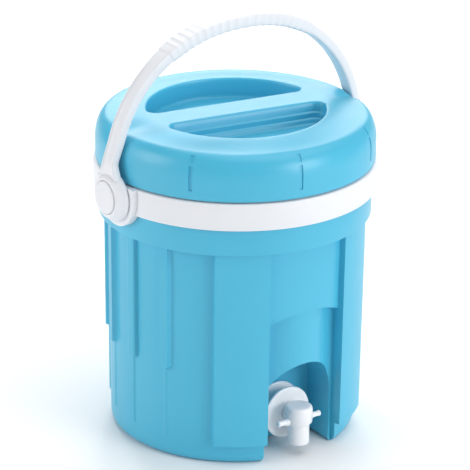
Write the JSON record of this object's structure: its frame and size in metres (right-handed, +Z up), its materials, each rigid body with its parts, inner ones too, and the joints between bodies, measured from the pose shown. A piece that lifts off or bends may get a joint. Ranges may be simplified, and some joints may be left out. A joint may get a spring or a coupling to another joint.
{
  "type": "insulated beverage dispenser",
  "caption": "Insulated drinks jug in pale blue and white plastic, with a twist-off lid, a bail handle and a push-fit tap in an arched alcove.",
  "frame": {"origin": "centre of the foot rim on the floor", "axes": "+Z up along the jug's axis, -Y towards the tap, X along the handle's pivot axis"},
  "size_m": [0.2976, 0.27, 0.4087],
  "materials": {
    "blue_plastic": "satin moulded pale blue",
    "white_plastic": "satin moulded white",
    "liner_plastic": "food-safe white",
    "foam": "rigid cast foam",
    "seal_rubber": "soft black"
  },
  "bodies": {
    "jug": {"outer_shell": "blue_plastic", "inner_liner": "liner_plastic", "insulation_foam": "foam", "collar_ring": "white_plastic", "pivot_pin_left": "white_plastic", "pivot_retainer_left": "white_plastic", "pivot_pin_right": "white_plastic", "pivot_retainer_right": "white_plastic", "tap_body": "white_plastic", "tap_escutcheon": "white_plastic", "tap_outer_gasket": "seal_rubber", "tap_inner_gasket": "seal_rubber", "tap_nut": "white_plastic"},
    "handle": {"handle_bail": "white_plastic"},
    "lid_seal": {"lid_gasket": "seal_rubber"},
    "lid": {"lid_shell": "blue_plastic", "lid_liner": "liner_plastic", "lid_foam": "foam"},
    "spout": {"tap_spout": "white_plastic", "spout_oring_front": "seal_rubber", "spout_oring_rear": "seal_rubber"}
  },
  "joints": [
    {"name": "handle_swing", "type": "hinge", "parent": "jug", "child": "handle", "pos_m": [0, 0, 0.256], "axis": [1, 0, 0], "range_deg": [-110, 110]},
    {"name": "lid_rise", "type": "slide", "parent": "jug", "child": "lid_seal", "axis": [0, 0, 1], "range_m": [0, 0.0015]},
    {"name": "lid_turn", "type": "hinge", "parent": "lid_seal", "child": "lid", "pos_m": [0, 0, 0.29], "axis": [0, 0, 1], "range_deg": [0, 90]},
    {"name": "spout_turn", "type": "hinge", "parent": "jug", "child": "spout", "pos_m": [0, -0.109, 0.035], "axis": [0, 1, 0], "range_deg": [0, 90]}
  ],
  "couplings": [
    {"joint": "lid_rise", "follows": "lid_turn", "m_per_rad": 0.00095}
  ]
}
